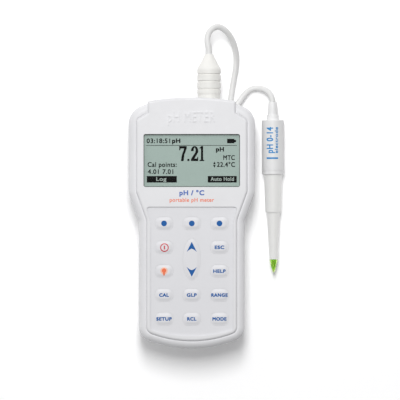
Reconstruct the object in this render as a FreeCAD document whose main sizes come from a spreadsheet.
"""Portable pH meter with its plug-in probe, as an assembly of separate pieces.

Millimetres. The meter lies on its back: +Z comes out of the display, +Y points to the
end with the probe socket, +X to the right of the display. The origin is the middle of
the meter's outline on the flat back face that it rests on.
"""
import FreeCAD, Part
import math
import os

import Sketcher
from FreeCAD import Vector

SIZES = {
    # Outline of the case, seen from the front. Its middle is the origin.
    "half_length": 92.5,
    "upper_half": 46.5,
    "grip_half": 38.9,
    "neck_half": 33.0,
    "neck_top": 87.9,
    "shoulder_top": 81.9,
    "taper_top": 22.1,
    "taper_bottom": 1.2,
    "foot_radius": 90.0,
    "shoulder_round": 14.0,
    "neck_round": 4.0,
    "taper_round": 8.0,
    "foot_round": 11.0,
    # How far an outline corner moves along Y for each millimetre that the outline is inset.
    "taper_shift": 0.176,
    "shoulder_shift": 0.649,
    "neck_shift": 0.2125,
    # Heights above the rest face.
    "belly": 11.0,
    "split": 22.0,
    "rim_top": 34.4,
    "face_top": 35.2,
    "ceiling": 32.0,
    "floor_top": 13.4,
    "wall": 2.4,
    "rim_round": 4.6,
    # Raised face plate with the visor in front of the socket.
    "plate_inset": 5.4,
    "visor_half": 32.5,
    "visor_foot": 81.2,
    "visor_side": 89.7,
    "visor_radius": 190.0,
    "visor_under": 32.0,
    "groove_width": 0.6,
    "visor_bevel": 1.8,
    "plate_side_top": 76.0,
    "plate_round": 4.0,
    "visor_foot_round": 0.8,
    "visor_round": 1.0,
    # Seal between the two shells.
    "seal_outer": 0.8,
    "seal_inner": 1.7,
    "seal_height": 0.8,
    "belly_round": 2.0,
    "upper_head_depth": 3.0,
    "foot_head_depth": 8.0,
    "bay_wall": 1.6,
    # Thick lower half of the back, which holds the cells.
    "hump_half": 36.5,
    "hump_top": 20.0,
    "hump_inset": 2.4,
    "hump_edge": 2.5,
    # Display.
    "window_half": 35.5,
    "window_low": 26.5,
    "window_high": 65.5,
    "window_round": 1.5,
    "lens_top": 34.0,
    "lens_bottom": 32.8,
    "lens_lap": 1.8,
    "lens_gap": 0.2,
    "lcd_top": 32.4,
    "lcd_bottom": 29.9,
    "light_bottom": 27.9,
    "bracket_bottom": 26.9,
    # Keypad.
    "pad_top": 11.9,
    "pad_top_half": 33.7,
    "pad_half": 30.6,
    "pad_taper_end": 0.7,
    "pad_low": 83.3,
    "pad_radius": 100.0,
    "pad_round": 2.0,
    "mat_floor": 33.4,
    "mat_top": 34.3,
    "mat_gap": 0.15,
    "key_top": 35.1,
    "key_width": 13.0,
    "key_depth": 9.4,
    "key_round": 4.0,
    "key_gap": 0.25,
    "key_edge": 0.6,
    "key_pitch_across": 20.4,
    "key_pitch_down": 17.58,
    "key_first_row": 0.3,
    "key_lip": 1.0,
    "key_lip_top": 31.7,
    "key_lip_bottom": 30.7,
    "key_stem_radius": 2.5,
    "key_stem_bottom": 24.9,
    "rocker_middle": 26.7,
    "rocker_half_width": 6.35,
    "rocker_half_length": 15.3,
    "rocker_lip_top": 30.8,
    "rocker_lip_bottom": 29.8,
    "rocker_stem": 8.8,
    "rocker_stem_bottom": 24.6,
    # Circuit board.
    "board_top": 23.2,
    "board_bottom": 21.6,
    "board_grip_half": 29.5,
    "board_upper_half": 36.0,
    "board_low": 78.5,
    "board_high": 73.5,
    "dome_radius": 3.0,
    "dome_rise": 0.6,
    # Screws.
    "case_boss_radius": 3.0,
    "case_screw_radius": 1.1,
    "case_head_radius": 2.4,
    "case_head_height": 1.8,
    "board_boss_radius": 2.0,
    "board_screw_radius": 0.9,
    "board_head_radius": 1.8,
    "board_head_height": 1.2,
    "cover_screw_radius": 1.25,
    "cover_head_radius": 2.2,
    "cover_head_height": 1.2,
    # Cells and their compartment in the back.
    "cell_radius": 7.15,
    "cell_body": 49.2,
    "cell_nub": 1.3,
    "cell_pitch": 15.0,
    "cell_axis": 10.9,
    "bay_middle": 43.0,
    "bay_half_width": 30.3,
    "bay_half_length": 28.2,
    "bay_top": 18.4,
    "bay_roof": 19.8,
    "cover_half_width": 32.4,
    "cover_half_length": 34.4,
    "cover_round": 5.0,
    "cover_gap": 0.2,
    "cover_bottom": 0.4,
    "cover_top": 2.4,
    "ledge": 2.9,
    "contact_plate": 0.4,
    "spring_length": 4.4,
    # Socket and plug: turned pieces on one axis along Y.
    "plug_across": 12.7,
    "plug_height": 23.0,
    "barrel_radius": 6.5,
    "barrel_bore": 5.5,
    "barrel_end": 93.0,
    "barrel_start": 78.0,
    "pin_circle": 3.2,
    "pin_radius": 0.5,
    "plug_core": 5.43,
    "collar_radius": 8.2,
    "grip_radius": 8.75,
    "ring_groove": 0.75,
    "socket_seal": 0.5,
    "insert_face": 84.0,
    "pin_tip": 80.5,
    "collar_start": 89.7,
    "grip_start": 95.3,
    "boot_start": 113.1,
    "boot_end": 124.4,
    # Socket for the data lead, closed by a rubber flap.
    "usb_across": -14.0,
    "usb_height": 24.2,
    "flap_hinge": 21.2,
    # Probe, turned about its own axis, which lies level.
    "probe_across": 60.27,
    "probe_height": 8.15,
    "probe_turn": 0.35,
    "probe_boot_end": 89.6,
    "collar_top": 79.8,
    "head_top": 76.0,
    "head_low": 38.9,
    "head_radius": 8.15,
    "head_inner": 6.85,
    "ring_top": 38.3,
    "ring_low": 35.8,
    "step_high": 8.2,
    "step_low": 7.1,
    "stem_low": -26.9,
    "tip_end": -36.7,
    # Cable.
    "cable_radius": 2.2,
    "coil_middle": 55.0,
    "coil_inner": 14.8,
    "coil_outer": 32.0,
    "coil_bottom": 0.8,
    "coil_top": 9.6,
}

doc = FreeCAD.newDocument("ph_meter")
sheet = doc.addObject("Spreadsheet::Sheet", "dims")


class Size:
    """A number together with the sheet formula that gives it."""

    def __init__(self, number, text):
        self.number = number
        self.text = text

    def __add__(self, other):
        other = size(other)
        return Size(self.number + other.number, "(%s + %s)" % (self.text, other.text))

    def __radd__(self, other):
        return size(other) + self

    def __sub__(self, other):
        other = size(other)
        return Size(self.number - other.number, "(%s - %s)" % (self.text, other.text))

    def __rsub__(self, other):
        return size(other) - self

    def __mul__(self, other):
        other = size(other)
        return Size(self.number * other.number, "(%s * %s)" % (self.text, other.text))

    def __rmul__(self, other):
        return size(other) * self

    def __truediv__(self, other):
        other = size(other)
        return Size(self.number / other.number, "(%s / %s)" % (self.text, other.text))

    def __neg__(self):
        return Size(-self.number, "(0 - %s)" % self.text)


def size(thing):
    """Read a plain number or a Size as a Size."""
    if isinstance(thing, Size):
        return thing
    return Size(float(thing), repr(float(thing)))


def root(thing):
    return Size(math.sqrt(thing.number), "sqrt(%s)" % thing.text)


class Dimensions:
    """The cells of the sheet, each as a Size under its alias."""


d = Dimensions()
for row, (alias, number) in enumerate(SIZES.items(), start=1):
    sheet.set("A%d" % row, alias.replace("_", " "))
    sheet.set("B%d" % row, repr(number))
    sheet.setAlias("B%d" % row, alias)
    setattr(d, alias, Size(number, "dims." + alias))
doc.recompute()


# ---------------------------------------------------------------- helpers

def bind(thing, **properties):
    """Bind properties to sheet formulas. A double underscore stands for a dot."""
    for name, amount in properties.items():
        thing.setExpression(name.replace("__", "."), size(amount).text)


def place(thing, x=0, y=0, z=0):
    bind(thing, Placement__Base__x=x, Placement__Base__y=y, Placement__Base__z=z)


def new_body(label):
    body = doc.addObject("PartDesign::Body", label)
    body.Label = label
    return body


def new_sketch(body, name, lift=0, role="XY_Plane"):
    """A sketch on one of the body's own origin planes, lifted along the plane's normal."""
    sketch = body.newObject("Sketcher::SketchObject", name)
    plane = next(item for item in body.Origin.OriginFeatures if item.Role == role)
    sketch.AttachmentSupport = [(plane, "")]
    sketch.MapMode = "FlatFace"
    bind(sketch, AttachmentOffset__Base__z=lift)
    return sketch


def fix_point(sketch, item, end, x, y):
    """Tie one point of a sketch to its distances from the sketch's origin."""
    for kind, amount in (("DistanceX", size(x)), ("DistanceY", size(y))):
        rule = Sketcher.Constraint(kind, -1, 1, item, end, amount.number)
        number = sketch.addConstraint(rule)
        sketch.setExpression("Constraints[%d]" % number, amount.text)


def fix_radius(sketch, item, radius):
    radius = size(radius)
    number = sketch.addConstraint(Sketcher.Constraint("Radius", item, radius.number))
    sketch.setExpression("Constraints[%d]" % number, radius.text)


def flat(x, y):
    return Vector(size(x).number, size(y).number, 0)


def turned_by(vector, angle):
    """A vector of the sketch plane, turned anticlockwise."""
    across = Vector(-vector.y, vector.x, 0)
    return vector * math.cos(angle) + across * math.sin(angle)


def outline_edge(start, finish, radius):
    """The directions at both ends of an edge, and its middle. A radius makes it bulge to the right."""
    chord = finish - start
    along = Vector(chord).normalize()
    middle = (start + finish) / 2
    if radius is None:
        return along, along, middle
    half = math.asin(chord.Length / 2 / radius.number)
    sagitta = radius.number * (1 - math.cos(half))
    crown = middle + turned_by(along, -math.pi / 2) * sagitta
    return turned_by(along, -half), turned_by(along, half), crown


def polygon(sketch, corners, arcs=None, rounds=None):
    """Draw a closed outline, anticlockwise, from its sharp corners.

    arcs gives the radius of the edge that follows a corner, which then bulges outward.
    rounds gives the radius of a rounded corner.
    """
    arcs = arcs or {}
    rounds = rounds or {}
    count = len(corners)
    points = [flat(*corner) for corner in corners]
    shapes = [outline_edge(points[n], points[(n + 1) % count], arcs.get(n)) for n in range(count)]
    turns = []
    for n in range(count):
        before = shapes[n - 1][1]
        after = shapes[n][0]
        turns.append(math.atan2(before.x * after.y - before.y * after.x, before.dot(after)))
    trims = [rounds[n].number * math.tan(abs(turns[n]) / 2) if n in rounds else 0 for n in range(count)]

    edges = []
    for n, (begin, end, middle) in enumerate(shapes):
        following = (n + 1) % count
        start = points[n] + begin * trims[n]
        finish = points[following] - end * trims[following]
        curve = Part.Arc(start, middle, finish) if n in arcs else Part.LineSegment(start, finish)
        edges.append(sketch.addGeometry(curve, False))
        if n in arcs:
            fix_radius(sketch, edges[n], arcs[n])
    for n, corner in enumerate(corners):
        last = edges[n - 1]
        following = edges[n]
        if n not in rounds:
            sketch.addConstraint(Sketcher.Constraint("Coincident", last, 2, following, 1))
            fix_point(sketch, following, 1, *corner)
            continue
        enter = points[n] - shapes[n - 1][1] * trims[n]
        leave = points[n] + shapes[n][0] * trims[n]
        side = math.copysign(math.pi / 2, turns[n])
        centre = enter + turned_by(shapes[n - 1][1], side) * rounds[n].number
        middle = centre + (points[n] - centre).normalize() * rounds[n].number
        arc = sketch.addGeometry(Part.Arc(enter, middle, leave), False)
        # An arc is stored anticlockwise, so at a hollow corner its first end comes last.
        first, second = (1, 2) if turns[n] > 0 else (2, 1)
        mark = sketch.addGeometry(Part.Point(points[n]), True)
        fix_point(sketch, mark, 1, *corner)
        sketch.addConstraint(Sketcher.Constraint("PointOnObject", mark, 1, last))
        sketch.addConstraint(Sketcher.Constraint("PointOnObject", mark, 1, following))
        sketch.addConstraint(Sketcher.Constraint("Tangent", last, 2, arc, first))
        sketch.addConstraint(Sketcher.Constraint("Tangent", arc, second, following, 1))
        fix_radius(sketch, arc, rounds[n])


def circle(sketch, x, y, radius):
    item = sketch.addGeometry(Part.Circle(flat(x, y), Vector(0, 0, 1), size(radius).number), False)
    fix_point(sketch, item, 3, x, y)
    fix_radius(sketch, item, radius)


def rectangle(sketch, left, right, low, high):
    polygon(sketch, [(left, low), (right, low), (right, high), (left, high)])


def rounded(sketch, x, y, width, depth, corner):
    """Draw a rectangle with round corners about its middle."""
    half_w = size(width) / 2
    half_d = size(depth) / 2
    corner = size(corner)
    quarter = [
        (x + half_w - corner, y + half_d - corner, 0),
        (x - half_w + corner, y + half_d - corner, 90),
        (x - half_w + corner, y - half_d + corner, 180),
        (x + half_w - corner, y - half_d + corner, 270),
    ]
    turns = []
    for centre_x, centre_y, angle in quarter:
        ring = Part.Circle(flat(centre_x, centre_y), Vector(0, 0, 1), corner.number)
        start = math.radians(angle)
        arc = Part.ArcOfCircle(ring, start, start + math.pi / 2)
        turns.append(sketch.addGeometry(arc, False))
        fix_point(sketch, turns[-1], 3, centre_x, centre_y)
        fix_radius(sketch, turns[-1], corner)
    for index, turn in enumerate(turns):
        following = turns[(index + 1) % len(turns)]
        begin = sketch.getPoint(turn, 2)
        finish = sketch.getPoint(following, 1)
        side = sketch.addGeometry(Part.LineSegment(begin, finish), False)
        sketch.addConstraint(Sketcher.Constraint("Tangent", turn, 2, side, 1))
        sketch.addConstraint(Sketcher.Constraint("Tangent", side, 2, following, 1))


def oval(sketch, x, y, half_x, half_y):
    """Draw an ellipse that is longer along Y."""
    top = flat(x, y + half_y)
    side = flat(x + half_x, y)
    item = sketch.addGeometry(Part.Ellipse(top, side, flat(x, y)), False)
    sketch.addConstraint(Sketcher.Constraint("Block", item))


def pad(body, sketch, length, downward=False):
    feature = body.newObject("PartDesign::Pad", sketch.Name + "_pad")
    feature.Profile = sketch
    feature.Reversed = downward
    bind(feature, Length=length)
    sketch.Visibility = False
    doc.recompute()
    return feature


def pocket(body, sketch, length, forward=False):
    """Cut a sketch away, against its normal unless forward is asked for."""
    before = body.Shape.Volume
    feature = body.newObject("PartDesign::Pocket", sketch.Name + "_pocket")
    feature.Profile = sketch
    feature.Reversed = forward
    bind(feature, Length=length)
    doc.recompute()
    if body.Shape.Volume >= before - 0.01:
        raise ValueError("%s cuts nothing" % feature.Name)
    return feature


def fillet(body, radius, wanted):
    """Round the edges of the body that pass the test."""
    doc.recompute()
    base = body.Tip
    names = ["Edge%d" % number for number, edge in enumerate(base.Shape.Edges, start=1) if wanted(edge)]
    if not names:
        raise ValueError("no edge to round on %s" % body.Label)
    feature = body.newObject("PartDesign::Fillet", body.Label + "_round")
    feature.Base = (base, names)
    bind(feature, Radius=radius)
    doc.recompute()
    return feature


def level_at(z, keep=None):
    """Test for an edge that lies at one height."""
    z = size(z).number

    def test(edge):
        box = edge.BoundBox
        if abs(box.ZMin - z) > 0.01 or abs(box.ZMax - z) > 0.01:
            return False
        return keep is None or keep(box)
    return test


def turned(label, profile, x=0, z=0):
    """A body turned about an axis along Y, from (radius, y) corners."""
    body = new_body(label)
    sketch = new_sketch(body, label + "_profile")
    polygon(sketch, profile)
    feature = body.newObject("PartDesign::Revolution", label + "_turn")
    feature.Profile = sketch
    feature.ReferenceAxis = (sketch, ["V_Axis"])
    feature.Angle = 360
    place(body, x=x, z=z)
    doc.recompute()
    return body


def block(label, left, right, low, high, bottom, top, corner=None):
    """A plate or block with upright faces and, where asked, round corners."""
    body = new_body(label)
    sketch = new_sketch(body, label + "_outline", lift=bottom)
    if corner is None:
        rectangle(sketch, left, right, low, high)
    else:
        middle_x = (size(left) + right) / 2
        middle_y = (size(low) + high) / 2
        rounded(sketch, middle_x, middle_y, size(right) - left, size(high) - low, corner)
    pad(body, sketch, size(top) - bottom)
    return body


def turned_to(direction):
    """The placement that turns a part's own Z axis to a direction."""
    return FreeCAD.Placement(Vector(0, 0, 0), FreeCAD.Rotation(Vector(0, 0, 1), direction))


def cylinder(name, radius, height, x, y, z, along=None):
    """A Part cylinder that starts at a place and runs up, or along the given direction."""
    item = doc.addObject("Part::Cylinder", name)
    if along is not None:
        item.Placement = turned_to(along)
    bind(item, Radius=radius, Height=height)
    place(item, x, y, z)
    return item


def box(name, width, depth, height, x, y, z):
    """A Part box by its lowest corner."""
    item = doc.addObject("Part::Box", name)
    bind(item, Length=width, Width=depth, Height=height)
    place(item, x, y, z)
    return item


def fuse(name, shapes):
    item = doc.addObject("Part::MultiFuse", name)
    item.Shapes = shapes
    return item


def cut(name, base, tool):
    item = doc.addObject("Part::Cut", name)
    item.Base = base
    item.Tool = tool
    return item


def group(name, links):
    """Separate solids that share one node."""
    item = doc.addObject("Part::Compound", name)
    item.Links = links
    item.Label = name
    return item


def screw(name, x, y, head_z, shank, shank_radius, head_radius, head_height):
    """A pan-head screw that points up, with its head below head_z and a hexagon socket."""
    head = cylinder(name + "_head", head_radius, head_height, x, y, size(head_z) - head_height)
    rod = cylinder(name + "_shank", shank_radius, shank, x, y, head_z)
    blank = fuse(name + "_blank", [head, rod])
    drive = doc.addObject("Part::Prism", name + "_drive")
    drive.Polygon = 6
    bind(drive, Circumradius=head_radius * 0.5, Height=head_height * 0.6)
    place(drive, x, y, size(head_z) - head_height)
    return cut(name, blank, drive)


# ---------------------------------------------------------------- outlines

def foot_corner(half_width, radius):
    """Where the arc of a foot meets a side at this distance from the middle."""
    middle = d.foot_radius - d.half_length
    return middle - root(radius * radius - half_width * half_width)


def case_outline(inset):
    """Corners of the case's outline, moved in by inset, from the foot anticlockwise."""
    inset = size(inset)
    side = d.upper_half - inset
    grip = d.grip_half - inset
    foot = foot_corner(grip, d.foot_radius - inset)
    shift = inset * d.taper_shift
    shoulder = d.shoulder_top - inset * d.shoulder_shift
    neck = d.neck_half - inset * d.neck_shift
    right = [
        (grip, foot),
        (grip, d.taper_bottom + shift),
        (side, d.taper_top + shift),
        (side, shoulder),
        (neck, d.neck_top - inset),
    ]
    return both_sides(right)


def both_sides(right):
    """Give the corners or radii of the right side to the left side too, from the left foot."""
    if isinstance(right[0], tuple):
        left = [(-x, y) for x, y in reversed(right)]
    else:
        left = right[::-1]
    return [left[-1]] + right + left[:-1]


def draw_case_outline(sketch, inset):
    inset = size(inset)
    rounds = both_sides([
        d.foot_round - inset,
        d.taper_round + inset,
        d.taper_round - inset,
        d.shoulder_round - inset,
        d.neck_round - inset,
    ])
    polygon(sketch, case_outline(inset), {0: d.foot_radius - inset}, dict(enumerate(rounds)))


def draw_plate_outline(sketch, grow):
    """Outline of the raised plate with its visor, moved out by grow."""
    inset = d.plate_inset - grow
    corners = case_outline(inset)
    right = corners[1:4] + [
        (corners[3][0], d.plate_side_top + grow / 2),
        (d.visor_half + grow, d.visor_foot + grow / 2),
        (d.visor_half + grow, d.visor_side + grow),
    ]
    rounds = both_sides([
        d.foot_round - inset,
        d.taper_round + inset,
        d.taper_round - inset,
        d.plate_round + grow,
        d.visor_foot_round - grow / 2,
        d.visor_round + grow,
    ])
    arcs = {0: d.foot_radius - inset, 6: d.visor_radius}
    polygon(sketch, both_sides(right), arcs, dict(enumerate(rounds)))


key_columns = {"left": -d.key_pitch_across, "middle": size(0), "right": d.key_pitch_across}


def key_row(number):
    return -(d.key_first_row + d.key_pitch_down * number)


def cut_key_holes(body, name, lift, depth, gap):
    """Cut a hole for each key, and one oval for the arrow key, through a plate."""
    outer = new_sketch(body, name + "_outer", lift=lift)
    for across in ("left", "right"):
        width = d.key_width + 2 * gap
        depth_y = d.key_depth + 2 * gap
        rounded(outer, key_columns[across], key_row(0), width, depth_y, d.key_round + gap)
    first = pocket(body, outer, depth)
    rows = body.newObject("PartDesign::LinearPattern", name + "_rows")
    rows.Originals = [first]
    rows.Direction = (outer, ["V_Axis"])
    rows.Reversed = True
    rows.Occurrences = 5
    bind(rows, Length=d.key_pitch_down * 4)
    body.Tip = rows
    doc.recompute()
    inner = new_sketch(body, name + "_inner", lift=lift)
    for row_number in (0, 3, 4):
        rounded(inner, size(0), key_row(row_number), width, depth_y, d.key_round + gap)
    pocket(body, inner, depth)
    arrows = new_sketch(body, name + "_arrows", lift=lift)
    oval(arrows, size(0), -d.rocker_middle, d.rocker_half_width + gap, d.rocker_half_length + gap)
    pocket(body, arrows, depth)


def bosses(body, name, places, radius, low, high):
    """Round posts on a wall, from one height up to another."""
    sketch = new_sketch(body, name, lift=low)
    for x, y in places:
        circle(sketch, x, y, radius)
    pad(body, sketch, size(high) - low)


def holes(body, name, places, radius, low, high):
    """Round holes from one height up to another."""
    sketch = new_sketch(body, name, lift=high)
    for x, y in places:
        circle(sketch, x, y, radius)
    pocket(body, sketch, size(high) - low)


def side_hole(body, name, x, z, radius):
    """A round hole through the end wall behind the plug."""
    sketch = new_sketch(body, name, lift=-(d.neck_top + 1), role="XZ_Plane")
    circle(sketch, x, z, radius)
    pocket(body, sketch, d.wall + 3, forward=True)


upper_screws = [(side * 40.9, y) for side in (-1, 1) for y in (72.0, 30.0)]
foot_screws = [(side * 22.0, -82.5) for side in (-1, 1)]
board_screws = [(side * x, y) for side in (-1, 1) for x, y in ((10.2, -62.0), (10.2, -9.1), (30.0, 70.8))]
cover_screws = [(side * 24.0, -43.0 + end * 31.4) for side in (-1, 1) for end in (-1, 1)]


# ---------------------------------------------------------------- case

def draw_keypad_outline(sketch, inset):
    """Outline of the keypad: wider at its top, with an arc along its foot."""
    half = d.pad_half - inset
    low = d.pad_radius - d.pad_low - root(d.pad_radius * d.pad_radius - half * half)
    right = [
        (half, low),
        (half, d.pad_taper_end),
        (d.pad_top_half - inset, d.pad_top - inset),
    ]
    rounds = both_sides([d.pad_round, d.taper_round, d.pad_round])
    polygon(sketch, both_sides(right), {0: d.pad_radius}, dict(enumerate(rounds)))


def front_case():
    """Front shell: display window, keypad recess, raised face plate and visor."""
    body = new_body("front_case")
    outline = new_sketch(body, "front_outline", lift=d.split)
    draw_case_outline(outline, 0)
    pad(body, outline, d.rim_top - d.split)
    fillet(body, d.rim_round, level_at(d.rim_top))

    plate = new_sketch(body, "face_plate", lift=d.visor_under)
    draw_plate_outline(plate, size(0))
    pad(body, plate, d.face_top - d.visor_under)
    groove = new_sketch(body, "plate_groove", lift=d.rim_top)
    draw_plate_outline(groove, d.groove_width)
    draw_plate_outline(groove, size(0))
    pocket(body, groove, d.groove_width)
    fillet(body, d.visor_bevel, level_at(d.face_top, lambda box: box.Center.y > 87))

    cavity = new_sketch(body, "front_cavity", lift=d.split)
    draw_case_outline(cavity, d.wall)
    pocket(body, cavity, d.ceiling - d.split, forward=True)

    window = new_sketch(body, "window_opening", lift=d.face_top)
    width = d.window_half * 2
    height = d.window_high - d.window_low
    middle = (d.window_high + d.window_low) / 2
    rounded(window, size(0), middle, width, height, d.window_round)
    pocket(body, window, d.face_top - d.ceiling)
    rebate = new_sketch(body, "lens_rebate", lift=d.ceiling)
    lap = d.lens_lap + d.lens_gap
    rounded(rebate, size(0), middle, width + 2 * lap, height + 2 * lap, d.window_round)
    pocket(body, rebate, d.lens_top - d.ceiling, forward=True)

    recess = new_sketch(body, "keypad_recess", lift=d.face_top)
    draw_keypad_outline(recess, size(0))
    pocket(body, recess, d.face_top - d.mat_floor)
    cut_key_holes(body, "case_key", d.mat_floor, d.mat_floor - d.ceiling, d.key_gap)

    bosses(body, "front_bosses", upper_screws + foot_screws, d.case_boss_radius, d.split, d.ceiling + 0.2)
    holes(body, "front_threads", upper_screws + foot_screws, d.case_screw_radius, d.split, d.split + 8)
    bosses(body, "board_bosses", board_screws, d.board_boss_radius, d.board_top, d.ceiling + 0.2)
    holes(body, "board_threads", board_screws, d.board_screw_radius, d.board_top, d.board_top + 6)

    side_hole(body, "front_socket_hole", d.plug_across, d.plug_height, d.barrel_radius + 0.1)
    slot = new_sketch(body, "usb_hole", lift=-(d.neck_top + 1), role="XZ_Plane")
    rounded(slot, d.usb_across, d.usb_height, size(9.4), size(4.0), size(1.4))
    pocket(body, slot, d.wall + 3, forward=True)
    return body


def rear_case():
    """Rear shell: thick grip that holds the cells, and the thinner display end."""
    body = new_body("rear_case")
    hump = new_sketch(body, "hump_outline")
    foot = foot_corner(d.hump_half, d.foot_radius - d.hump_inset)
    corners = [
        (-d.hump_half, foot),
        (d.hump_half, foot),
        (d.hump_half, d.hump_top),
        (-d.hump_half, d.hump_top),
    ]
    rounds = both_sides([d.foot_round - d.hump_inset, d.taper_round])
    polygon(hump, corners, {0: d.foot_radius - d.hump_inset}, dict(enumerate(rounds)))
    pad(body, hump, d.belly + 1)
    fillet(body, d.hump_edge, level_at(0))

    shell = new_sketch(body, "rear_outline", lift=d.belly)
    draw_case_outline(shell, 0)
    pad(body, shell, d.split - d.belly)
    fillet(body, d.belly_round, level_at(d.belly, is_outer_edge))

    cavity = new_sketch(body, "rear_cavity", lift=d.split)
    draw_case_outline(cavity, d.wall)
    pocket(body, cavity, d.split - d.floor_top)
    front_room = new_sketch(body, "hump_cavity", lift=d.floor_top)
    inside = d.hump_half - d.wall
    rectangle(front_room, -inside, inside, -d.bay_middle + d.cover_half_length + 2, d.hump_top - d.wall)
    pocket(body, front_room, d.floor_top - d.wall)
    sides = new_sketch(body, "side_channels", lift=d.floor_top)
    bay_side = d.bay_half_width + d.bay_wall
    channel = d.bay_half_length - 4
    rectangle(sides, bay_side, inside, -d.bay_middle - channel, -d.bay_middle + channel)
    rectangle(sides, -inside, -bay_side, -d.bay_middle - channel, -d.bay_middle + channel)
    pocket(body, sides, d.floor_top - d.ledge - d.bay_wall)

    roof = new_sketch(body, "bay_roof", lift=d.floor_top)
    bay_end = d.bay_half_length + d.bay_wall
    rectangle(roof, -bay_side, bay_side, -d.bay_middle - bay_end, -d.bay_middle + bay_end)
    pad(body, roof, d.bay_roof - d.floor_top)
    recess = new_sketch(body, "cover_recess")
    width = (d.cover_half_width + d.cover_gap) * 2
    length = (d.cover_half_length + d.cover_gap) * 2
    rounded(recess, size(0), -d.bay_middle, width, length, d.cover_round + d.cover_gap)
    pocket(body, recess, d.ledge, forward=True)
    bay = new_sketch(body, "cell_bay", lift=d.ledge)
    bay_low = -d.bay_middle - d.bay_half_length
    bay_high = -d.bay_middle + d.bay_half_length
    rectangle(bay, -d.bay_half_width, d.bay_half_width, bay_low, bay_high)
    pocket(body, bay, d.bay_top - d.ledge, forward=True)

    bosses(body, "rear_bosses", upper_screws + foot_screws, d.case_boss_radius, d.floor_top - 0.2, d.split)
    holes(body, "rear_clearance", upper_screws + foot_screws, d.case_screw_radius + 0.4, 0, d.split)
    head_room = d.case_head_radius + 0.3
    holes(body, "upper_heads", upper_screws, head_room, d.belly - 1, d.belly + d.upper_head_depth)
    holes(body, "foot_heads", foot_screws, head_room, -1, d.foot_head_depth)
    holes(body, "cover_threads", cover_screws, d.cover_screw_radius + 0.1, d.ledge, d.ledge + 8)
    groove = new_sketch(body, "seal_groove", lift=d.split)
    draw_case_outline(groove, d.seal_outer)
    draw_case_outline(groove, d.seal_inner)
    pocket(body, groove, d.seal_height)
    side_hole(body, "rear_socket_hole", d.plug_across, d.plug_height, d.barrel_radius + 0.1)
    return body


def is_outer_edge(box):
    """Tell the case's own lower edge from the line where the hump leaves it."""
    widest = max(abs(box.XMin), abs(box.XMax))
    beyond_hump = box.YMax > d.hump_top.number + 1.5
    return widest > d.hump_half.number + 0.5 or beyond_hump or box.YMin < -d.half_length.number + 0.5


def case_gasket():
    """Seal that lies in the rear shell's groove, open where the socket's barrel passes."""
    body = new_body("case_gasket")
    sketch = new_sketch(body, "gasket_outline", lift=d.split - d.seal_height)
    draw_case_outline(sketch, d.seal_outer)
    draw_case_outline(sketch, d.seal_inner)
    pad(body, sketch, d.seal_height)
    side_hole(body, "gasket_socket_gap", d.plug_across, d.plug_height, d.barrel_radius + 0.1)
    return body


def case_screws():
    sizes = (d.case_screw_radius, d.case_head_radius, d.case_head_height)
    upper_head = d.belly + d.upper_head_depth
    upper = []
    for n, (x, y) in enumerate(upper_screws):
        upper.append(screw("upper_screw_%d" % n, x, y, upper_head, 12.5, *sizes))
    foot = [screw("foot_screw_%d" % n, x, y, d.foot_head_depth, 19.0, *sizes)
            for n, (x, y) in enumerate(foot_screws)]
    return group("case_screws", upper + foot)


# ---------------------------------------------------------------- display

window_middle = (d.window_high + d.window_low) / 2
window_height = d.window_high - d.window_low


def window_plate(label, lap, bottom, top, corner):
    """A plate centred on the display window that laps past its opening."""
    half_width = d.window_half + lap
    half_height = window_height / 2 + lap
    return block(label, -half_width, half_width, window_middle - half_height, window_middle + half_height,
                 bottom, top, corner)


def window_frame(label, outer, inner, bottom, top, corner):
    """A rectangular frame round the display window."""
    body = window_plate(label, outer, bottom, top, corner)
    opening = new_sketch(body, label + "_opening", lift=top)
    width = (d.window_half + inner) * 2
    rounded(opening, size(0), window_middle, width, window_height + inner * 2, corner)
    pocket(body, opening, size(top) - bottom)
    return body


def display_window():
    return window_plate("display_window", d.lens_lap, d.lens_bottom, d.lens_top, d.window_round)


def window_gasket():
    return window_frame("window_gasket", d.lens_lap, size(0.4), d.lcd_top, d.lens_bottom, d.window_round)


def lcd_panel():
    """Liquid crystal glass: the lower sheet is deeper, to carry the contacts."""
    body = window_plate("lcd_panel", size(1.0), d.lcd_bottom, d.lcd_top, size(0.4))
    step = new_sketch(body, "contact_ledge", lift=d.lcd_top)
    low = d.window_low - 1.0
    rectangle(step, -d.window_half - 2, d.window_half + 2, low - 1, low + 0.8)
    pocket(body, step, size(1.2))
    return body


def lcd_backlight():
    return window_plate("lcd_backlight", size(0.9), d.light_bottom, d.lcd_bottom, size(0.4))


def lcd_bracket():
    """Tray that clips the display against the case."""
    body = window_plate("lcd_bracket", d.lens_lap, d.bracket_bottom, d.lcd_top, size(1.0))
    room = new_sketch(body, "bracket_room", lift=d.lcd_top)
    rounded(room, size(0), window_middle, (d.window_half + 1.05) * 2, window_height + 2.1, size(0.5))
    pocket(body, room, d.lcd_top - d.light_bottom)
    return body


def lcd_ribbon():
    """Flexible lead from the display down to the circuit board."""
    low = d.window_low - d.lens_lap - 1.0
    return block("lcd_ribbon", size(-11), size(11), low, low + 0.4, d.board_top, d.light_bottom)


# ---------------------------------------------------------------- keypad

key_names = {
    ("left", 0): "key_soft_left",
    ("middle", 0): "key_soft_middle",
    ("right", 0): "key_soft_right",
    ("left", 1): "key_power",
    ("right", 1): "key_escape",
    ("left", 2): "key_light",
    ("right", 2): "key_help",
    ("left", 3): "key_calibrate",
    ("middle", 3): "key_report",
    ("right", 3): "key_range",
    ("left", 4): "key_setup",
    ("middle", 4): "key_recall",
    ("right", 4): "key_mode",
}


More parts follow.
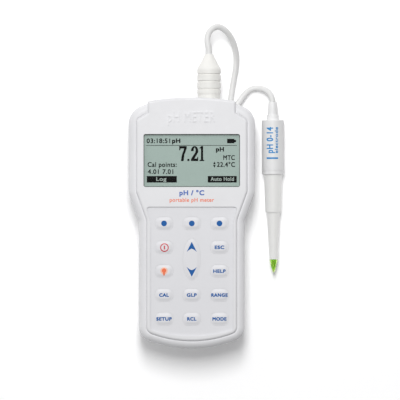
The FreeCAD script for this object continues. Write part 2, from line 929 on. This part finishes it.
def keypad_mat():
    """Soft sheet that fills the recess round the keys."""
    body = new_body("keypad_mat")
    sketch = new_sketch(body, "mat_outline", lift=d.mat_floor)
    draw_keypad_outline(sketch, d.mat_gap)
    pad(body, sketch, d.mat_top - d.mat_floor)
    cut_key_holes(body, "mat_key", d.mat_top, d.mat_top - d.mat_floor, d.key_gap)
    return body


def key(label, x, y):
    """A key cap with a lip that holds it under the case and a stem down to its dome."""
    body = new_body(label)
    lip = new_sketch(body, label + "_lip", lift=d.key_lip_bottom)
    lip_width = d.key_width + 2 * d.key_lip
    lip_depth = d.key_depth + 2 * d.key_lip
    rounded(lip, x, y, lip_width, lip_depth, d.key_round + d.key_lip)
    pad(body, lip, d.key_lip_top - d.key_lip_bottom)
    cap = new_sketch(body, label + "_cap", lift=d.key_lip_bottom)
    rounded(cap, x, y, d.key_width, d.key_depth, d.key_round)
    pad(body, cap, d.key_top - d.key_lip_bottom)
    stem = new_sketch(body, label + "_stem", lift=d.key_stem_bottom)
    circle(stem, x, y, d.key_stem_radius)
    pad(body, stem, d.key_lip_top - d.key_stem_bottom)
    fillet(body, d.key_edge, level_at(d.key_top))
    return body


def key_arrows():
    """Oval rocker with an up arrow and a down arrow, one stem under each."""
    body = new_body("key_arrows")
    middle = -d.rocker_middle
    lip = new_sketch(body, "rocker_lip", lift=d.rocker_lip_bottom)
    oval(lip, size(0), middle, d.rocker_half_width + d.key_lip, d.rocker_half_length + d.key_lip)
    pad(body, lip, d.rocker_lip_top - d.rocker_lip_bottom)
    cap = new_sketch(body, "rocker_cap", lift=d.rocker_lip_bottom)
    oval(cap, size(0), middle, d.rocker_half_width, d.rocker_half_length)
    pad(body, cap, d.key_top - d.rocker_lip_bottom)
    stems = new_sketch(body, "rocker_stems", lift=d.rocker_stem_bottom)
    circle(stems, size(0), middle + d.rocker_stem, d.key_stem_radius)
    circle(stems, size(0), middle - d.rocker_stem, d.key_stem_radius)
    pad(body, stems, d.rocker_lip_top - d.rocker_stem_bottom)
    fillet(body, d.key_edge, level_at(d.key_top))
    return body


def key_places():
    places = [(key_columns[column], key_row(row_number)) for column, row_number in key_names]
    arrows = [(size(0), -d.rocker_middle + side * d.rocker_stem) for side in (1, -1)]
    return places + arrows


def key_domes():
    """Snap domes on the circuit board, one under each stem."""
    domes = []
    for number, (x, y) in enumerate(key_places()):
        dome = doc.addObject("Part::Cone", "dome_%d" % number)
        bind(dome, Radius1=d.dome_radius, Radius2=d.dome_radius * 0.55, Height=d.dome_rise)
        place(dome, x, y, d.board_top)
        domes.append(dome)
    return group("key_domes", domes)


# ---------------------------------------------------------------- electronics

def circuit_board():
    body = new_body("circuit_board")
    sketch = new_sketch(body, "board_outline", lift=d.board_bottom)
    right = [
        (d.board_grip_half, -d.board_low),
        (d.board_grip_half, d.taper_bottom),
        (d.board_upper_half, d.taper_top - 2),
        (d.board_upper_half, d.board_high),
    ]
    left = [(-x, y) for x, y in reversed(right)]
    polygon(sketch, right + left)
    pad(body, sketch, d.board_top - d.board_bottom)
    holes(body, "board_clearance", board_screws, d.board_screw_radius + 0.2, d.board_bottom, d.board_top)
    return body


def circuit_board_screws():
    sizes = (d.board_screw_radius, d.board_head_radius, d.board_head_height)
    screws = [screw("board_screw_%d" % n, x, y, d.board_bottom, 6.5, *sizes)
              for n, (x, y) in enumerate(board_screws)]
    return group("circuit_board_screws", screws)


def chip(name, x, y, width, depth, height, legs):
    """A packaged chip with a row of legs on two sides, on the board's top face."""
    package = box(name + "_package", width, depth, height, x - width / 2, y - depth / 2, d.board_top + 0.1)
    parts = [package]
    for side in (-1, 1):
        for number in range(legs):
            leg_y = y - depth / 2 + (number + 0.5) * depth / legs
            leg_x = x + side * width / 2 - (0 if side > 0 else 0.8)
            leg = "%s_leg_%d_%d" % (name, side + 1, number)
            parts.append(box(leg, 0.8, 0.35, 0.5, leg_x, leg_y - 0.17, d.board_top))
    return fuse(name, parts)


def processor():
    return chip("processor", 2.0, 15.0, 11.0, 9.0, 1.4, 8)


def input_shield():
    """Metal can over the high-impedance input next to the socket."""
    top = d.board_top + 3.0
    sides = (size(5.0), size(23.0), size(52.0), size(67.0))
    body = block("input_shield", *sides, d.board_top, top, size(1.0))
    inside = new_sketch(body, "shield_inside", lift=d.board_top)
    rounded(inside, size(14.0), size(59.5), size(17.4), size(14.4), size(0.7))
    pocket(body, inside, size(2.7), forward=True)
    return body


def board_components():
    """Memory chips, resistors, capacitors and the clock crystal on the board's top face."""
    row = [(-30.0 + 4.0 * n, 40.0, 1.6, 0.8, 0.6) for n in range(7)]
    column = [(29.0, 30.0 + 4.0 * n, 1.6, 0.8, 0.6) for n in range(8)]
    tall = [(-30.0, 60.0, 3.2, 2.5, 2.2), (-24.0, 60.0, 3.2, 2.5, 2.2), (16.0, 15.0, 3.4, 7.4, 2.4)]
    pieces = [chip("memory_%d" % n, -17.0 + 9.0 * n, 50.0, 5.0, 6.0, 1.2, 4) for n in range(2)]
    for number, (x, y, width, depth, height) in enumerate(row + column + tall):
        pieces.append(box("component_%d" % number, width, depth, height, x, y, d.board_top))
    return group("board_components", pieces)


def buzzer():
    body = turned_up("buzzer", [(0, 0), (4.5, 0), (4.5, 3.0), (4.1, 3.4), (0.8, 3.4), (0.8, 2.8), (0, 2.8)])
    place(body, x=-22.0, y=14.6, z=d.board_top)
    return body


def turned_up(label, profile):
    """A body turned about an upright axis, from (radius, height) corners."""
    body = new_body(label)
    sketch = new_sketch(body, label + "_profile", role="XZ_Plane")
    polygon(sketch, profile)
    feature = body.newObject("PartDesign::Revolution", label + "_turn")
    feature.Profile = sketch
    feature.ReferenceAxis = (sketch, ["V_Axis"])
    feature.Angle = 360
    doc.recompute()
    return body


# ---------------------------------------------------------------- power

cell_columns = [d.cell_pitch * (n - 1.5) for n in range(4)]
cell_facing = (1, -1, 1, -1)
cell_start = d.bay_half_length - d.contact_plate - d.spring_length


def cells():
    """Four AA cells side by side, every other one turned round."""
    parts = []
    for number, (x, facing) in enumerate(zip(cell_columns, cell_facing)):
        along = Vector(0, facing, 0)
        low = -d.bay_middle - facing * cell_start
        high = low + facing * d.cell_body
        can = cylinder("cell_can_%d" % number, d.cell_radius, d.cell_body, x, low, d.cell_axis, along)
        nub = cylinder("cell_nub_%d" % number, 2.7, d.cell_nub, x, high, d.cell_axis, along)
        parts.append(fuse("cell_%d" % number, [can, nub]))
    return group("cells", parts)


def cell_springs():
    """Conical contact springs, as stepped cones of the same outline."""
    parts = []
    for number, (x, facing) in enumerate(zip(cell_columns, cell_facing)):
        low = -d.bay_middle - facing * cell_start
        step = d.spring_length / 4
        rings = []
        for turn in range(4):
            ring = doc.addObject("Part::Cone", "spring_%d_%d" % (number, turn))
            ring.Placement = turned_to(Vector(0, -facing, 0))
            wide = 2.6 + 0.7 * turn
            bind(ring, Radius1=wide, Radius2=wide + 0.5, Height=step)
            place(ring, x, low - facing * step * turn, d.cell_axis)
            rings.append(ring)
        facing_in = Vector(0, -facing, 0)
        bore = cylinder("spring_bore_%d" % number, 2.0, d.spring_length, x, low, d.cell_axis, facing_in)
        parts.append(cut("spring_%d" % number, fuse("spring_rings_%d" % number, rings), bore))
    return parts


def cell_contacts():
    """Metal plates on the end walls of the compartment, dimpled for the cells' nubs, and springs."""
    parts = cell_springs()
    for number, (x, facing) in enumerate(zip(cell_columns, cell_facing)):
        for end in (-1, 1):
            wall = -d.bay_middle + end * d.bay_half_length
            low = wall if end < 0 else wall - d.contact_plate
            name = "contact_%d_%d" % (number, end + 1)
            across = size(12.0)
            plate = box(name + "_plate", across, d.contact_plate, across, x - 6.0, low, d.cell_axis - 6.0)
            if end == facing:
                room = (d.bay_half_length - d.contact_plate) * 2
                reach = room - d.spring_length - d.cell_body - d.cell_nub
                face = wall - end * d.contact_plate
                dimple = cylinder(name + "_dimple", 3.0, reach, x, face, d.cell_axis, Vector(0, -end, 0))
                parts.append(fuse(name, [plate, dimple]))
            else:
                parts.append(plate)
    return group("cell_contacts", parts)


def cell_cover():
    """Cover plate over the cells, held by four captive screws."""
    body = block("cell_cover", -d.cover_half_width, d.cover_half_width, -d.bay_middle - d.cover_half_length,
                 -d.bay_middle + d.cover_half_length, d.cover_bottom, d.cover_top, d.cover_round)
    holes(body, "cover_clearance", cover_screws, d.cover_screw_radius, d.cover_bottom, d.cover_top)
    holes(body, "cover_heads", cover_screws, d.cover_head_radius + 0.1, d.cover_bottom,
          d.cover_bottom + d.cover_head_height + 0.1)
    return body


def cell_cover_seal():
    """Rubber frame between the cover and the ledge round the compartment."""
    outer_x = d.bay_half_width + 1.6
    outer_y = d.bay_half_length + 1.3
    body = block("cell_cover_seal", -outer_x, outer_x, -d.bay_middle - outer_y, -d.bay_middle + outer_y,
                 d.cover_top, d.ledge - 0.05, size(1.5))
    opening = new_sketch(body, "seal_opening", lift=d.cover_top)
    width = (d.bay_half_width + 0.3) * 2
    height = (d.bay_half_length + 0.1) * 2
    rounded(opening, size(0), -d.bay_middle, width, height, size(0.5))
    pocket(body, opening, d.ledge - d.cover_top, forward=True)
    return body


def cell_cover_screws():
    sizes = (d.cover_screw_radius, d.cover_head_radius, d.cover_head_height)
    head = d.cover_bottom + d.cover_head_height + 0.1
    screws = []
    for n, (x, y) in enumerate(cover_screws):
        screws.append(screw("cover_screw_%d" % n, x, y, head, 8.0, *sizes))
    return group("cell_cover_screws", screws)


# ---------------------------------------------------------------- sockets

pin_places = [(0.0, 0.0)] + [
    (SIZES["pin_circle"] * math.cos(math.radians(angle)), SIZES["pin_circle"] * math.sin(math.radians(angle)))
    for angle in range(90, 450, 60)
]


def on_plug_axis(label, profile):
    return turned(label, profile, x=d.plug_across, z=d.plug_height)


def probe_socket():
    """Keyed barrel that the plug pushes into, with a flange outside the end wall."""
    flange = d.neck_top + d.socket_seal
    return on_plug_axis("probe_socket", [
        (d.barrel_bore, d.barrel_start),
        (d.barrel_radius, d.barrel_start),
        (d.barrel_radius, flange),
        (d.collar_radius - 0.2, flange),
        (d.collar_radius - 0.2, flange + 1.1),
        (d.barrel_radius, flange + 1.1),
        (d.barrel_radius, d.barrel_end - 0.4),
        (d.barrel_radius - 0.4, d.barrel_end),
        (d.barrel_bore, d.barrel_end),
    ])


def socket_seal():
    return on_plug_axis("socket_seal", [
        (d.barrel_radius, d.neck_top),
        (d.collar_radius - 0.4, d.neck_top),
        (d.collar_radius - 0.4, d.neck_top + d.socket_seal),
        (d.barrel_radius, d.neck_top + d.socket_seal),
    ])


def socket_nut():
    """Nut that holds the barrel from inside the case."""
    inner = d.neck_top - d.wall
    blank = doc.addObject("Part::Prism", "socket_nut_blank")
    blank.Polygon = 6
    blank.Placement = turned_to(Vector(0, -1, 0))
    bind(blank, Circumradius=size(8.5), Height=size(2.6))
    place(blank, d.plug_across, inner, d.plug_height)
    bore = cylinder("socket_nut_bore", d.barrel_radius, size(2.6), d.plug_across, inner, d.plug_height,
                    Vector(0, -1, 0))
    return cut("socket_nut", blank, bore)


def pins(name, radius, low, high, bore=None):
    """Seven round pins or sleeves along the plug's axis."""
    parts = []
    for number, (x, z) in enumerate(pin_places):
        at = (d.plug_across + x, low, d.plug_height + z, Vector(0, 1, 0))
        rod = cylinder("%s_%d_rod" % (name, number), radius, size(high) - low, *at)
        if bore is not None:
            hole = cylinder("%s_%d_bore" % (name, number), bore, size(high) - low, *at)
            rod = cut("%s_%d" % (name, number), rod, hole)
        parts.append(rod)
    return group(name, parts)


def pin_block(label, profile, name, radius, low, high):
    """A turned insulator with a hole for each pin."""
    blank = on_plug_axis(label + "_blank", profile)
    rods = []
    for number, (x, z) in enumerate(pin_places):
        rod = "%s_%d" % (name, number)
        where = (d.plug_across + x, low, d.plug_height + z)
        rods.append(cylinder(rod, radius, size(high) - low, *where, Vector(0, 1, 0)))
    return cut(label, blank, fuse(name + "s", rods))


def socket_insert():
    back = d.barrel_start + 0.5
    profile = [(0, back), (d.barrel_bore, back), (d.barrel_bore, d.insert_face), (0, d.insert_face)]
    bore = d.pin_radius * 1.9
    return pin_block("socket_insert", profile, "contact_bore", bore, d.barrel_start, d.insert_face)


def socket_contacts():
    outer = d.pin_radius * 1.9
    back = d.barrel_start - 2.0
    return pins("socket_contacts", outer, back, d.insert_face, bore=d.pin_radius + 0.07)


def usb_port():
    """Data socket behind the flap."""
    body = block("usb_port", d.usb_across - 4.0, d.usb_across + 4.0, d.neck_top - 8.5, d.neck_top - 1.4,
                 d.board_top, d.board_top + 2.8, size(0.8))
    mouth = new_sketch(body, "usb_mouth", lift=-(d.neck_top - 1.4), role="XZ_Plane")
    rectangle(mouth, d.usb_across - 3.4, d.usb_across + 3.4, d.board_top + 0.4, d.board_top + 2.4)
    pocket(body, mouth, size(5.0), forward=True)
    return body


def usb_flap():
    """Rubber flap that swings down from the data socket about its lower edge."""
    body = new_body("usb_flap")
    sketch = new_sketch(body, "flap_side", role="YZ_Plane")
    near = d.neck_top + 0.1
    far = near + 1.6
    rectangle(sketch, near, far, d.flap_hinge, d.flap_hinge + 6.4)
    pad(body, sketch, size(12.0))
    bind(body, Placement__Base__x=d.usb_across - 6.0)
    fillet(body, size(0.79), lambda edge: edge.BoundBox.XLength > 11 and edge.BoundBox.Center.z < 21.3)
    fillet(body, size(1.2), lambda edge: edge.BoundBox.YLength > 1.5 and edge.BoundBox.Center.z > 27
           and edge.BoundBox.XLength < 0.1)
    return body


# ---------------------------------------------------------------- plug

def plug_collar():
    """Sleeve that goes over the socket's barrel."""
    return on_plug_axis("plug_collar", [
        (d.barrel_radius + 0.06, d.collar_start),
        (d.collar_radius - 0.3, d.collar_start),
        (d.collar_radius, d.collar_start + 0.4),
        (d.collar_radius, d.grip_start),
        (d.barrel_radius + 0.06, d.grip_start),
    ])


def plug_insert():
    front = d.insert_face + 0.3
    back = d.grip_start + 2.0
    profile = [(0, front), (d.plug_core, front), (d.plug_core, back), (0, back)]
    return pin_block("plug_insert", profile, "pin_bore", d.pin_radius, d.insert_face, back)


def plug_pins():
    return pins("plug_pins", d.pin_radius, d.pin_tip, d.grip_start + 2.0)


def plug_grip():
    """Ribbed finger grip that ends in a cone, the cable's strain relief."""
    bands = [(d.grip_start, 98.3), (99.1, 103.8), (104.8, 109.1), (110.0, d.boot_start)]
    profile = [(0, d.grip_start + 2.0), (d.plug_core, d.grip_start + 2.0), (d.plug_core, d.grip_start)]
    soft = d.ring_groove
    for number, (low, high) in enumerate(bands):
        low = size(low)
        high = size(high)
        if number:
            profile.append((d.grip_radius - soft, low))
        profile.append((d.grip_radius, low + (soft / 2 if number else 0)))
        last = number == len(bands) - 1
        profile.append((d.grip_radius, high - (0 if last else soft / 2)))
        if not last:
            profile.append((d.grip_radius - soft, high))
    profile += [
        (d.grip_radius - 0.35, d.boot_start + 1.1),
        (5.5, 119.1),
        (3.3, d.boot_end - 0.8),
        (2.8, d.boot_end),
        (0, d.boot_end),
    ]
    return on_plug_axis("plug_grip", profile)


# ---------------------------------------------------------------- cable

# Routes by hand: out of the plug, over and down to the table, under the display end; and
# from the coil over the first stretch, round into the probe.
plug_route = [
    (12.7, 124.4, 23.0), (12.7, 128.6, 23.0), (11.1, 134.7, 22.4), (12.7, 141.5, 20.6),
    (19.1, 146.0, 17.8), (26.4, 142.0, 13.8), (31.3, 132.0, 8.4), (33.9, 119.5, 3.6),
    (33.0, 106.0, 2.3), (28.8, 92.6, 2.3), (28.4, 80.0, 2.6), (27.4, 71.5, 3.0),
]
probe_route = [
    (12.0, 84.2, 7.6), (17.8, 83.0, 8.0), (24.6, 81.6, 8.2), (30.6, 83.4, 8.1),
    (34.9, 89.7, 6.4), (38.9, 96.1, 4.2), (44.0, 100.4, 2.6), (50.2, 100.9, 3.4),
    (56.1, 98.2, 6.0), (59.2, 93.4, 8.0), (59.72, 89.6, 8.15),
]


def cable_tube(label, route):
    """A tube along straight runs joined by arcs, each as large as its two runs allow."""
    points = [Vector(*point) for point in route]
    edges = []
    radii = []
    start = points[0]
    for before, corner, after in zip(points, points[1:], points[2:]):
        back = before - corner
        ahead = after - corner
        turn = math.pi - back.getAngle(ahead)
        reach = 0.45 * min(back.Length, ahead.Length)
        radius = reach / math.tan(turn / 2)
        radii.append(radius)
        enter = corner + back.normalize() * reach
        leave = corner + ahead.normalize() * reach
        bisector = (back + ahead).normalize()
        centre = corner + bisector * math.hypot(radius, reach)
        middle = centre - bisector * radius
        edges.append(Part.LineSegment(start, enter).toShape())
        edges.append(Part.Arc(enter, middle, leave).toShape())
        start = leave
    edges.append(Part.LineSegment(start, points[-1]).toShape())
    wire = Part.Wire(edges)
    section = Part.Wire(Part.makeCircle(d.cable_radius.number, points[0], points[1] - points[0]))
    tube = doc.addObject("Part::Feature", label)
    tube.Label = label
    tube.Shape = wire.makePipeShell([section], True, True)
    tube.Placement = FreeCAD.Placement()
    expected = math.pi * d.cable_radius.number ** 2 * wire.Length
    print("%s: length %.1f, volume %.0f of %.0f, radii %s" % (
        label, wire.Length, tube.Shape.Volume, expected, ", ".join("%.1f" % radius for radius in radii)))
    return tube


def cable_plug_run():
    return cable_tube("cable_plug_run", plug_route)


def cable_probe_run():
    return cable_tube("cable_probe_run", probe_route)


def cable_coil():
    """Outer shape of the spare cable, wound in two layers."""
    soft = d.cable_radius * 0.8
    body = turned_up("cable_coil", [
        (d.coil_inner + soft, d.coil_bottom),
        (d.coil_outer - soft, d.coil_bottom),
        (d.coil_outer, d.coil_bottom + soft),
        (d.coil_outer, d.coil_top - soft),
        (d.coil_outer - soft, d.coil_top),
        (d.coil_inner + soft, d.coil_top),
        (d.coil_inner, d.coil_top - soft),
        (d.coil_inner, d.coil_bottom + soft),
    ])
    place(body, y=d.coil_middle)
    return body


def cable_tie():
    """Strap round the coil's bundle."""
    body = new_body("cable_tie")
    sketch = new_sketch(body, "tie_section", lift=-(d.coil_middle + 4.0), role="XZ_Plane")
    outer = -(d.coil_outer + 0.8)
    inner = -(d.coil_inner - 1.6)
    rectangle(sketch, outer, inner, size(0), d.coil_top + 0.8)
    rectangle(sketch, outer + 0.7, inner - 0.7, d.coil_bottom - 0.05, d.coil_top + 0.05)
    pad(body, sketch, size(8.0))
    return body


# ---------------------------------------------------------------- probe

def probe_placement():
    turn = FreeCAD.Rotation(Vector(0, 0, 1), d.probe_turn.number)
    return FreeCAD.Placement(Vector(0, 0, 0), turn)


def on_probe_axis(label, profile):
    """A piece turned about the probe's axis, which is a little askew of Y."""
    body = turned(label, profile)
    body.Placement = probe_placement()
    place(body, x=d.probe_across, z=d.probe_height)
    return body


def probe_boot():
    return on_probe_axis("probe_boot", [
        (0, d.collar_top), (3.55, d.collar_top), (3.4, 86.0), (3.0, d.probe_boot_end - 0.4),
        (2.6, d.probe_boot_end), (0, d.probe_boot_end),
    ])


def probe_collar():
    return on_probe_axis("probe_collar", [
        (0, d.head_top), (4.45, d.head_top), (4.45, d.collar_top - 0.4),
        (4.05, d.collar_top), (0, d.collar_top),
    ])


def probe_head():
    """Housing of the probe's amplifier, open at its lower end."""
    return on_probe_axis("probe_head", [
        (0, d.head_top), (7.75, d.head_top), (d.head_radius, d.head_top - 0.4),
        (d.head_radius, d.head_low), (d.head_inner, d.head_low),
        (d.head_inner, d.head_top - 2.0), (0, d.head_top - 2.0),
    ])


def probe_ring():
    """Ring that closes the head round the body, with a narrow groove above it."""
    return on_probe_axis("probe_ring", [
        (d.head_inner, d.ring_low), (d.head_radius - 0.3, d.ring_low), (d.head_radius, d.ring_low + 0.3),
        (d.head_radius, d.ring_top), (7.8, d.ring_top), (7.8, d.head_low), (d.head_inner, d.head_low),
    ])


def probe_body():
    """Translucent stem in two tapering steps, hollow for the electrode and its gel."""
    outer = [
        (d.head_inner, 46.0), (d.head_inner, d.ring_low), (6.7, d.ring_low - 0.1),
        (5.9, d.step_high), (4.85, d.step_low), (3.05, d.stem_low),
    ]
    inner = [
        (2.3, d.stem_low), (3.7, d.step_low), (4.7, d.step_high + 1.5), (5.4, d.ring_low), (5.6, 46.0),
    ]
    return on_probe_axis("probe_body", outer + inner)


def probe_tip():
    """Conical glass bulb at the end of the stem."""
    return on_probe_axis("probe_tip", [
        (0, -35.9), (0, d.tip_end), (0.45, d.tip_end + 0.15), (0.9, d.tip_end + 0.75),
        (2.75, d.stem_low - 2.2), (3.0, d.stem_low - 1.0), (3.0, d.stem_low),
        (2.3, d.stem_low), (2.15, d.stem_low - 2.2), (0.5, -35.2),
    ])


def probe_electrode():
    """Inner glass tube with the sensing wire that runs out into the tip."""
    return on_probe_axis("probe_electrode", [
        (0, -32.5), (0.55, -32.3), (0.55, d.stem_low), (1.6, d.stem_low + 1.5), (1.6, 44.0), (0, 44.0),
    ])


def probe_board():
    """Amplifier board inside the head."""
    low = d.probe_height - 0.6
    body = block("probe_board", size(-5.5), size(5.5), size(48.0), size(72.0), low, low + 1.2, size(1.0))
    parts = new_sketch(body, "probe_board_parts", lift=low + 1.2)
    for y in (53.0, 60.0, 67.0):
        rectangle(parts, size(-2.5), size(2.5), size(y - 2.0), size(y + 2.0))
    pad(body, parts, size(1.2))
    body.Placement = probe_placement()
    place(body, x=d.probe_across)
    return body


# ---------------------------------------------------------------- assembly

PIECES = [
    front_case, rear_case, case_gasket, case_screws,
    display_window, window_gasket, lcd_panel, lcd_backlight, lcd_bracket, lcd_ribbon,
    keypad_mat, key_arrows, key_domes,
    circuit_board, circuit_board_screws, processor, input_shield, board_components, buzzer,
    cells, cell_contacts, cell_cover, cell_cover_seal, cell_cover_screws,
    probe_socket, socket_seal, socket_nut, socket_insert, socket_contacts, usb_port, usb_flap,
    plug_collar, plug_insert, plug_pins, plug_grip,
    cable_plug_run, cable_coil, cable_probe_run, cable_tie,
    probe_boot, probe_collar, probe_head, probe_ring, probe_body, probe_tip, probe_electrode, probe_board,
]


def build():
    """Make every sub-part, check the document, and write one file for each."""
    sub_parts = [piece() for piece in PIECES]
    for (column, row_number), label in key_names.items():
        sub_parts.append(key(label, key_columns[column], key_row(row_number)))
    doc.recompute()
    failed = [item.Name for item in doc.Objects if {"Invalid", "Error"} & set(item.State)]
    for item in sub_parts:
        if item.Shape.isNull() or not item.Shape.isValid():
            failed.append(item.Label)
    if failed:
        raise ValueError("these failed: " + ", ".join(failed))
    os.makedirs("parts", exist_ok=True)
    for item in sub_parts:
        item.Shape.exportStep("parts/%s.step" % item.Label)
    print("%d sub-parts written" % len(sub_parts))


build()
